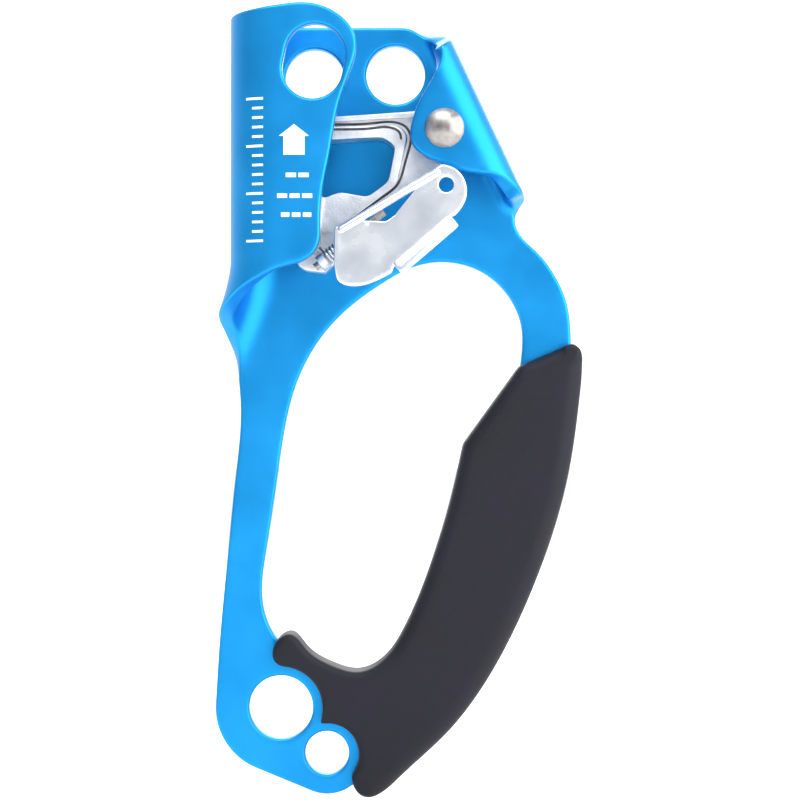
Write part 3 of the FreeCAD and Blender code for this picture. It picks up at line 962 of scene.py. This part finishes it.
@dataclass
class Grip:
    """The rubber overmould: an outline in X and Z whose edges are rolled over towards both faces."""

    front: float = 4.5
    back: float = 8.5
    large_eye: float = 10.05
    small_centre: tuple[float, float] = (11.0, -10.9)
    small_eye: float = 7.65
    roll: float = 4.2
    inner_roll: float = 3.0
    step: float = 0.5
    rings: int = 9
    bend_share: float = 0.62
    eyes_middle: tuple[float, float] = (6.0, -2.0)
    eyes_reach: float = 24.0
    eyes_roll: float = 1.8
    waist: tuple[float, float] = (9.5, -3.4)
    waist_reach: float = 5.0
    least_roll: float = 0.5

    def outline(self) -> np.ndarray:
        """The outline: the outer sweep, the arcs round the two eyes, the tab and the inner edge.

        Returns:
            The closed loop, in X and Z.
        """
        outer = spline([(69.4, 87.0), (71.3, 85.6), (71.9, 83.0), (71.4, 74.5), (69.0, 57.4), (64.5, 40.3),
                        (57.9, 23.2), (48.9, 6.1), (40.3, -5.3), (28.2, -16.7), (23.2, -20.6), (20.4, -21.1),
                        (17.9, -19.4), (16.86, -15.82)], self.step)
        toe = arc(self.small_centre, self.small_eye, -40, 101.6)
        foot = arc((0, 0), self.large_eye, -19.8, 88)
        inner = spline([(0.35, 10.04), (-1.4, 11.2), (-1.9, 13.6), (0.0, 17.0), (2.2, 18.0), (5.9, 14.6),
                        (11.8, 10.6), (18.9, 8.9), (24.6, 11.8), (28.7, 17.5), (34.9, 31.7), (40.3, 48.8),
                        (43.6, 63.1)], self.step)
        corner = np.array([[57.0, 81.6]])
        loop = np.vstack([outer, toe[1:], foot, inner[1:], corner])
        return resample(loop, self.step, 0.55)

    def rolls(self, loop: np.ndarray, outward: np.ndarray) -> np.ndarray:
        """The radius that the edge is rolled over to: large outside, smaller inside and round the eyes.

        Args:
            loop: The outline.
            outward: Its outward normals.

        Returns:
            A radius for each point, under the outline's own.
        """
        turn = np.gradient(np.unwrap(np.arctan2(outward[:, 1], outward[:, 0])))
        bend_r = self.step / np.maximum(np.abs(turn), 1e-4)
        side = np.clip((outward[:, 0] - 0.2) / 0.5, 0, 1)
        wanted = self.inner_roll + (self.roll - self.inner_roll) * side
        wanted = np.where(turn > 0, np.minimum(wanted, self.bend_share * bend_r), wanted)
        near_eyes = np.linalg.norm(loop - self.eyes_middle, axis=1) < self.eyes_reach
        wanted = np.where(near_eyes, np.minimum(wanted, self.eyes_roll), wanted)
        near_waist = np.linalg.norm(loop - self.waist, axis=1) < self.waist_reach
        wanted = np.where(near_waist, self.least_roll, wanted)
        return np.clip(blur(wanted, 3.0), self.least_roll, self.roll)

    def place(self, flat: np.ndarray, depth: np.ndarray) -> np.ndarray:
        """Puts flat points behind the grip's front face.

        Args:
            flat: X and Z of the points.
            depth: Their depth.

        Returns:
            Points in space.
        """
        return np.stack([flat[:, 0], depth - self.front, flat[:, 1]], axis=1)

    def build(self, palette: Palette) -> None:
        """Makes the grip.

        Args:
            palette: Where its material comes from.
        """
        loop = turned(self.outline(), True)
        roll = self.rolls(loop, normals(loop))
        piece = slab("rubber_grip", [loop], [roll], self.front + self.back, self.place, 1.5, self.rings)
        palette.dress(piece, RUBBER, Body.FRAME, "grip")


# ---------------------------------------------------------------- cam, catch and pivots


@dataclass
class Coil:
    """A torsion spring: a helix with a straight leg at each end."""

    name: str
    start: tuple[float, float, float]
    way: tuple[float, float, float]
    radius: float
    wire: float
    turns: float
    length: float
    first_leg: float
    last_leg: float
    phase: float = 0.0

    def build(self) -> bpy.types.Object:
        """Makes the wire: each point turns about the axis while it moves along it, and the legs are tangents.

        Returns:
            The spring.
        """
        axis = np.array(self.way, float)
        axis /= np.linalg.norm(axis)
        across = np.cross(axis, (0.37, 0.21, 0.9))
        across /= np.linalg.norm(across)
        up = np.cross(axis, across)
        angle = self.phase + np.linspace(0, 2 * math.pi * self.turns, int(28 * self.turns))
        rise = np.linspace(0, self.length, len(angle))
        centre = np.array(self.start, float)
        ring = np.cos(angle)[:, None] * across + np.sin(angle)[:, None] * up
        path = centre + rise[:, None] * axis + self.radius * ring
        tangents = [-math.sin(a) * across + math.cos(a) * up for a in (angle[0], angle[-1])]
        before = path[0] - np.linspace(self.first_leg, 0.3, 8)[:, None] * tangents[0]
        after = path[-1] + np.linspace(0.3, self.last_leg, 8)[:, None] * tangents[1]
        return tube(self.name, np.vstack([before, path, after]), self.wire, axis, 10)


@dataclass
class Hinge:
    """The catch's pin: its right end and the way it runs, down to the left."""

    end: tuple[float, float, float] = (24.7, -14.0, 117.4)
    rise: float = 39.0
    lug_r: float = 1.9

    def way(self) -> np.ndarray:
        """The pin's direction.

        Returns:
            A unit vector.
        """
        lean = math.radians(self.rise)
        return np.array([-math.cos(lean), 0.0, -math.sin(lean)])

    def lug(self, name: str, start: float, length: float, reach: float) -> bpy.types.Object:
        """A block with one round side that holds the pin: its profile is carried along the pin.

        Args:
            name: The piece's name.
            start: Distance from the pin's right end.
            length: Length along the pin.
            reach: How far its flat side is in front of the pin, or behind it if negative.

        Returns:
            The lug.
        """
        way = self.way()
        side = np.array([way[2], 0, -way[0]])
        forward = np.array([0.0, -math.copysign(1.0, reach), 0.0])
        turn = np.radians(np.linspace(90, 270, 17))
        profile = np.vstack([self.lug_r * np.stack([np.cos(turn), np.sin(turn)], axis=1),
                             [(abs(reach), -self.lug_r), (abs(reach), self.lug_r)]])
        spots = np.array([start, start + 0.2, start + length - 0.2, start + length])
        shrink = np.array([0.88, 1, 1, 0.88])
        rows = (np.array(self.end) + spots[:, None, None] * way + shrink[:, None, None] * (
            profile[None, :, :1] * forward + profile[None, :, 1:] * side))
        count = len(profile)
        faces = ring_faces(4, count) + end_faces(4, count)
        return new_piece(name, rows.reshape(-1, 3), faces)


@dataclass
class Cam:
    """The cast cam, built up as casting levels, with what it turns on."""

    pivot: tuple[float, float] = (38.8, 137.0)
    back: float = 0.6
    web: float = 9.0
    face: float = 10.0
    jaw_back: float = 3.7
    jaw_front: float = 11.3
    jaw_r: float = 41.8
    jaw_growth: float = 0.35
    jaw_turn: float = 32.0
    teeth: int = 12
    tooth_h: float = 1.1
    column_gap: float = 1.0
    hub_r: float = 4.7
    spring_r: float = 5.3
    bore_edge: float = 0.2
    bore_r: float = 3.66
    spring_room: float = 4.6
    lugs: tuple = ((7.8, 3.6), (17.4, 2.0))
    lug_reach: float = -6.0
    head_back: float = 14.4
    head_r: float = 4.6
    head_h: float = 2.3
    head_rim: float = 0.35
    edge: float = 0.45
    sink: float = 0.6
    columns: int = 3
    root_depth: float = 2.6
    groove_shade_r: float = 0.3
    hinge: Hinge = field(default_factory=Hinge)
    window: tuple = ((6.6, 134.4), (24.4, 135.3), (27.4, 133.2), (25.7, 124.8), (20.9, 121.2), (14.2, 122.4),
                     (10.2, 120.8), (7.2, 122.6))
    body: tuple = ((38.0, 141.6), (32.5, 141.4), (4.2, 139.5), (4.2, 105.4), (6.0, 104.0), (10.8, 103.4),
                   (19.2, 111.6), (19.2, 115.9), (37.5, 127.9), (42.6, 134.3), (43.4, 137.6), (42.0, 140.4),
                   (40.0, 141.5))
    rim: tuple = ((4.3, 137.7), (27.9, 138.2), (30.4, 135.8), (27.6, 124.0), (12.6, 112.9), (6.0, 112.0),
                  (4.3, 114.0))
    bar: tuple = ((4.3, 139.5), (32.5, 141.4), (35.4, 141.2), (34.2, 140.0), (4.3, 138.4))
    # Paths and depths of thin dark tubes that paint the shade in the cam's grooves
    groove_shade_paths: tuple = (
        (((6.0, 138.1), (14.0, 138.35), (22.0, 138.65), (27.8, 138.75), (29.9, 137.7), (30.9, 135.7), (30.4, 132.0),
          (29.4, 128.4), (27.9, 124.3), (24.4, 121.3), (19.0, 117.5), (13.8, 113.9)), 8.95),
        (((6.0, 136.9), (14.0, 137.1), (22.0, 137.4), (26.4, 137.5), (28.3, 136.4), (28.7, 134.6)), 9.95),
    )

    def level(self, name: str, loops: list, back: float, front: float, edge: float) -> bpy.types.Object:
        """One level of the casting, between two distances in front of the frame's plate.

        Args:
            name: The piece's name.
            loops: Its outline, then its holes.
            back: Where its back is.
            front: Where its front is.
            edge: Edge radius of the outline; holes have at most bore_edge.

        Returns:
            The level.
        """
        def place(flat: np.ndarray, depth: np.ndarray) -> np.ndarray:
            """Lays the level behind its front face.

            Args:
                flat: X and Z of the points.
                depth: Their depth.

            Returns:
                Points in space.
            """
            return np.stack([flat[:, 0], depth - front, flat[:, 1]], axis=1)

        return slab(name, loops, [edge] + [self.bore_edge] * (len(loops) - 1), front - back, place, 0.9, 4)

    def jaw_point(self, turn: np.ndarray, lift: float) -> np.ndarray:
        """Points on the spiral jaw, whose radius is R exp(growth angle).

        Args:
            turn: Angles below level, degrees.
            lift: How far outside the spiral the points are.

        Returns:
            X and Z of the points.
        """
        radius = self.jaw_r * np.exp(self.jaw_growth * np.radians(turn)) + lift
        angle = np.radians(180 + turn)
        x, z = self.pivot
        return np.stack([x + radius * np.cos(angle), z + radius * np.sin(angle)], axis=-1)

    def casting(self) -> list[bpy.types.Object]:
        """The casting's levels, toothed columns and lugs.

        Returns:
            The pieces, the main level first.
        """
        window = resample(np.array(self.window), 0.3, 0.9)
        body = resample(np.array(self.body), 0.4, 0.5)
        rim = resample(np.array(self.rim), 0.3, 0.9)
        bar = resample(np.array(self.bar), 0.3, 0.3)
        bore = ring(self.pivot, self.bore_r, 0.3)
        bite = arc(self.pivot, self.spring_r, 293, 123, 40)
        low = resample(np.vstack([self.body[1:9], [(40.9, 132.1)], bite[1:]]), 0.4, 0.3)
        hub = [ring(self.pivot, self.hub_r, 0.3), bore]
        heel = np.array([(1.0, 107.4), (9.5, 108.2), (11.0, 121.0), (6.0, 123.0), (5.0, 134.5), (2.0, 139.0)])
        sweep = np.linspace(0, self.jaw_turn, 60)
        jaw = resample(np.vstack([self.jaw_point(sweep, -self.tooth_h), heel]), 0.35, 0.4)
        pieces = [self.level("cam_web", [body, window, bore], self.spring_room, self.web, self.edge),
                  self.level("cam_web_back", [low, window], self.back, self.spring_room + self.sink, self.edge),
                  self.level("cam_window_rim", [rim, window], self.web - self.sink, self.face, self.edge),
                  self.level("cam_top_bar", [bar], self.web - self.sink, self.face, 0.3),
                  self.level("cam_hub", hub, self.spring_room, self.face, 0.4),
                  self.level("cam_jaw", [jaw], self.jaw_back, self.jaw_front, 0.6)]
        step = self.jaw_turn / self.teeth
        starts = np.arange(self.teeth) * step
        tips = np.stack([self.jaw_point(starts, -self.tooth_h - 0.1),
                         self.jaw_point(starts + 0.15 * step, 0.0)], axis=1)
        root = self.jaw_point(np.linspace(self.jaw_turn, 0, 30), -self.root_depth)
        profile = resample(np.vstack([tips.reshape(-1, 2), root]), 0.16, 0.1)
        pitch = (self.jaw_front - self.jaw_back) / self.columns
        for column in range(self.columns):
            back = self.jaw_back + column * pitch + self.column_gap / 2
            front = back + pitch - self.column_gap
            pieces.append(self.level(f"cam_teeth_{column + 1}", [profile], back, front, 0.25))
        pieces += [self.hinge.lug(f"cam_lug_{number}", start, length, self.lug_reach)
                   for number, (start, length) in enumerate(self.lugs, 1)]
        return pieces

    def head(self) -> bpy.types.Object:
        """The rivet's domed head: a short straight rim, then a sphere's cap, turned about Y.

        Returns:
            The head.
        """
        cap, around = self.head_h - self.head_rim, 64
        ball = (self.head_r ** 2 + cap ** 2) / (2 * cap)
        reach = math.asin(self.head_r / ball)
        tilt = np.linspace(reach, 0.01, 16)
        radii = np.concatenate([[self.head_r * 0.6, self.head_r * 0.97, self.head_r], ball * np.sin(tilt)])
        fronts = np.concatenate([[0.02, 0.02, 0.12],
                                 self.head_rim + ball * (np.cos(tilt) - math.cos(reach))]) + self.head_back
        turn = np.linspace(0, 2 * math.pi, around, endpoint=False)
        rings = np.stack([self.pivot[0] + radii[:, None] * np.cos(turn),
                          -np.repeat(fronts[:, None], around, axis=1),
                          self.pivot[1] + radii[:, None] * np.sin(turn)], axis=-1)
        faces = ring_faces(len(radii), around) + end_faces(len(radii), around)
        return new_piece("rivet_head", rings.reshape(-1, 3), faces)

    def build(self, palette: Palette) -> None:
        """Makes the cam, the thin dark tubes that paint shade into its grooves, its rivet head and its spring.

        Args:
            palette: Where their materials come from.
        """
        pieces = self.casting()
        palette.dress(pieces[0], CAST, Body.CAM, "cam")
        for piece in pieces[1:]:
            palette.dress(piece, CAST, Body.CAM)
        # Thin dark tubes laid along the grooves: painted shade, not cut grooves
        for number, (line, depth) in enumerate(self.groove_shade_paths, 1):
            path = spline(list(line), 0.4)
            path = np.stack([path[:, 0], np.full(len(path), -depth), path[:, 1]], axis=1)
            shade_tube = tube(f"cam_painted_groove_shade_{number}", path, self.groove_shade_r, np.array([0.0, 1.0, 0.0]), 10)
            palette.dress(shade_tube, PAINTED_GROOVE_SHADE, Body.CAM)
        palette.dress(self.head(), STAINLESS, Body.FRAME)
        spring = Coil("cam_return_spring", (self.pivot[0], -0.95, self.pivot[1]), (0, -1, 0), radius=4.4,
                      wire=0.5, turns=3.1, length=3.0, first_leg=2.2, last_leg=5.0, phase=0.6)
        palette.dress(spring.build(), WIRE, Body.FRAME, "cam_spring")
        for node in ("cam_rivet", "cam_bush", "rivet_washer"):
            palette.paint_node(node, STAINLESS)


@dataclass
class Catch:
    """The safety catch: a stamped plate with a pressed bead, a flared thumb tab and two knuckles on a pin."""

    back: float = 16.2
    sheet: float = 1.4
    edge: float = 0.5
    cord_hole: tuple[float, float, float] = (39.2, 123.5, 1.75)
    bead_r: float = 0.9
    bead_start: tuple[float, float] = (13.9, 112.6)
    bead_end: tuple[float, float] = (37.9, 126.8)
    tab_foot: tuple[float, float] = (26.9, 104.9)
    tab_run: tuple[float, float] = (13.2, 11.3)
    tab_reach: float = 4.3
    tab_flare: float = 2.6
    hinge: Hinge = field(default_factory=Hinge)
    knuckles: tuple = ((6.0, 1.5), (12.0, 1.5))
    knuckle_reach: float = 2.9
    step_at: tuple[float, float] = (21.5, 108.0)
    step_slant: float = 0.12
    step_sharp: float = 2.2
    step_depth: float = 0.22
    lip: float = 0.22
    lip_width: float = 0.55

    def place(self, flat: np.ndarray, depth: np.ndarray) -> np.ndarray:
        """Puts the flat plate at its distance in front of the frame.

        The front face carries a shallow pressed step left of a slanted line, shaped as 1 / (1 + exp(sharpness
        (distance from the line))).

        Args:
            flat: X and Z of the points.
            depth: Their depth under the front face.

        Returns:
            Points in space.
        """
        x, z = flat[:, 0], flat[:, 1]
        past = x + self.step_slant * (z - self.step_at[1]) - self.step_at[0]
        left = 1 / (1 + np.exp(np.clip(self.step_sharp * past, -30, 30)))
        inner = np.clip((z - 100) / 8, 0, 1) * np.clip((x - 13.6) / 1.5, 0, 1)
        pressed = self.step_depth * left * inner * (depth < 0.01)
        return np.stack([x, depth - self.back - self.sheet + pressed, z], axis=1)

    def plate(self) -> bpy.types.Object:
        """The stamped plate with its triangular window and cord hole.

        Returns:
            The plate.
        """
        nose = spline([(38.3, 128.3), (41.3, 127.3), (43.5, 124.6), (44.0, 121.4), (42.9, 118.4),
                       (41.4, 116.4)], 0.3)
        foot = spline([(26.6, 103.1), (16.2, 100.1), (14.2, 101.0), (13.4, 103.0), (13.1, 109.8)], 0.3)
        corners = np.array([(13.1, 113.4)])
        side = np.array([(40.4, 116.0), (33.5, 110.1), (27.0, 104.5)])
        outline = resample(np.vstack([nose, side, foot, corners]), 0.3, 0.3)
        window = resample(np.array([(19.4, 115.2), (33.1, 123.7), (27.2, 116.4), (25.2, 115.0)]), 0.25, 0.25)
        hole = ring(self.cord_hole[:2], self.cord_hole[2], 0.3)
        return slab("catch_plate", [outline, window, hole], [self.edge, 0.35, 0.4], self.sheet, self.place, 0.7)

    def tab(self) -> bpy.types.Object:
        """The thumb tab: a strip along the plate's lower edge that leans forwards and outwards.

        Returns:
            The tab.
        """
        run = np.array([self.tab_run[0], 0, self.tab_run[1]])
        length = float(np.linalg.norm(run))
        run /= length
        outward = np.array([run[2], 0, -run[0]])
        forward = np.array([0.0, -1.0, 0.0])
        lean = self.tab_reach * forward + self.tab_flare * outward
        height = float(np.linalg.norm(lean))
        lean /= height
        across = np.cross(run, lean)
        root = np.array([self.tab_foot[0], -(self.back + 0.9), self.tab_foot[1]])
        outline = resample(np.array([(0, 0), (length, 0), (length, height + 0.5), (0, height + 0.5)]), 0.3, 0.7)

        def lay(flat: np.ndarray, depth: np.ndarray) -> np.ndarray:
            """Lays the strip along the edge, with a rolled lip along its free side.

            Args:
                flat: Distances along the strip and up it.
                depth: Depth under its outer face.

            Returns:
                Points in space.
            """
            bead = self.lip * np.exp(-((flat[:, 1] - height + 0.5) / self.lip_width) ** 2)
            off = (depth - self.sheet / 2) * (1 + bead / 0.7)
            return root + flat[:, :1] * run + flat[:, 1:] * lean + off[:, None] * across

        return slab("thumb_tab", [outline], [0.4], self.sheet - 0.1, lay, 0.5)

    def bead(self) -> bpy.types.Object:
        """The stiffening bead pressed along the top edge.

        Returns:
            The bead.
        """
        ends = np.array([self.bead_start, self.bead_end])
        line = ends[0] + np.linspace(0, 1, 50)[:, None] * (ends[1] - ends[0])
        depth = self.back + self.sheet - 0.25
        path = np.stack([line[:, 0], np.full(len(line), -depth), line[:, 1]], axis=1)
        return tube("catch_bead", path, self.bead_r, np.array([0.0, 1.0, 0.0]), 20)

    def build(self, palette: Palette) -> None:
        """Makes the catch and its spring, and paints its pin.

        Args:
            palette: Where their materials come from.
        """
        palette.dress(self.plate(), PLATED, Body.CATCH, "catch")
        for part in (self.tab, self.bead):
            palette.dress(part(), PLATED, Body.CATCH)
        for number, (start, length) in enumerate(self.knuckles, 1):
            lug = self.hinge.lug(f"catch_knuckle_{number}", start, length, self.knuckle_reach)
            palette.dress(lug, PLATED, Body.CATCH)
        way = self.hinge.way()
        start = np.array(self.hinge.end) + way * 13.9
        spring = Coil("catch_return_spring", tuple(start), tuple(way), radius=1.5, wire=0.42, turns=3.2,
                      length=2.9, first_leg=1.2, last_leg=3.2, phase=2.4)
        palette.dress(spring.build(), WIRE, Body.CAM, "catch_spring")
        palette.paint_node("catch_pin", STAINLESS)


# ---------------------------------------------------------------- studio


@dataclass
class Studio:
    """A pale floor, soft lights and the camera in front of the plate."""

    eye: tuple[float, float, float] = (28.44, -600.0, 73.5)
    view_width: float = 191.2
    floor_z: float = -24.0
    sensor: float = 36.0
    room_front: str = "b4b9c0"
    room_lean: float = 0.45
    room_turn: tuple[float, float] = (-0.6, 0.5)
    room_strength: float = 1.35
    floor_half: float = 3000.0
    aim: tuple[float, float, float] = (0.028, 0.0, 0.09)
    boxes: tuple = (("right_box", (0.66, -0.42, 0.28), (0.9, 0.9), 8.0),
                    ("top_box", (-0.05, -0.45, 0.85), (0.8, 0.5), 6.0),
                    ("back_box", (0.1, 0.8, 0.5), (0.8, 0.6), 5.0))

    def camera(self) -> None:
        """Puts the camera square to the plate, with a lens that takes in the view's width at the plate."""
        data = bpy.data.cameras.new("camera")
        data.sensor_width = self.sensor
        data.lens = self.sensor * -self.eye[1] / self.view_width
        data.clip_start, data.clip_end = 0.01, 50.0
        camera = bpy.data.objects.new("camera", data)
        camera.location = Vector(self.eye) * MM
        camera.rotation_euler = (math.pi / 2, 0, 0)
        bpy.context.scene.collection.objects.link(camera)
        bpy.context.scene.camera = camera

    def light(self, name: str, place: tuple, size: tuple[float, float], watts: float) -> None:
        """Adds a soft white box that faces the object's middle.

        Args:
            name: The lamp's name.
            place: Its centre, metres.
            size: Its width and height, metres.
            watts: Its power.
        """
        data = bpy.data.lights.new(name, "AREA")
        data.shape, data.size, data.size_y = "RECTANGLE", *size
        data.energy = watts
        lamp = bpy.data.objects.new(name, data)
        lamp.location = place
        target = Vector(self.aim) - Vector(place)
        lamp.rotation_euler = target.to_track_quat("-Z", "Y").to_euler()
        bpy.context.scene.collection.objects.link(lamp)

    def world(self) -> None:
        """A neutral room, white behind the object and to its right, darker on the camera's side and the left."""
        world = bpy.data.worlds.new("studio")
        world.use_nodes = True
        tree = world.node_tree
        tree.nodes.clear()
        way = add(tree, "ShaderNodeTexCoord").outputs["Generated"]
        parts = add(tree, "ShaderNodeSeparateXYZ", links={"Vector": way})
        side = add(tree, "ShaderNodeMath", {"operation": "MULTIPLY_ADD", 1: self.room_lean},
                   {0: parts.outputs["X"], 2: parts.outputs["Y"]})
        behind = spread(tree, side.outputs["Value"], 0.0, 1.0, *self.room_turn)
        tone = ramp(tree, behind, linear(self.room_front), linear("ffffff"), 0.0, 1.0)
        room = add(tree, "ShaderNodeBackground", {"Strength": self.room_strength}, {"Color": tone})
        add(tree, "ShaderNodeOutputWorld", links={"Surface": room.outputs["Background"]})
        bpy.context.scene.world = world

    def floor(self) -> None:
        """A wide pale floor under the object."""
        sides = ((-1, -1), (1, -1), (1, 1), (-1, 1))
        corners = np.array([(x * self.floor_half, y * self.floor_half, self.floor_z) for x, y in sides])
        floor = new_piece("floor", corners, [[0, 1, 2, 3]])
        paper = Finish("floor_paper_white", "", "fcfcfc", "ffffff", 0.0, 0.9, 1.0, 60.0, 2.0, 0.02, 0.02)
        floor.data.materials.append(paper.build())

    def build(self) -> None:
        """Sets the stage."""
        self.camera()
        self.world()
        self.floor()
        for name, place, size, watts in self.boxes:
            self.light(name, place, size, watts)
        bpy.context.scene.view_settings.view_transform = "Standard"


def main() -> None:
    """Builds the studio and the pieces."""
    logging.basicConfig(level=logging.INFO, format="%(name)s %(message)s")
    palette = Palette()
    Studio().build()
    FoldedFrame().build(palette)
    Grip().build(palette)
    Cam().build(palette)
    Catch().build(palette)


if __name__ == "__main__":
    main()
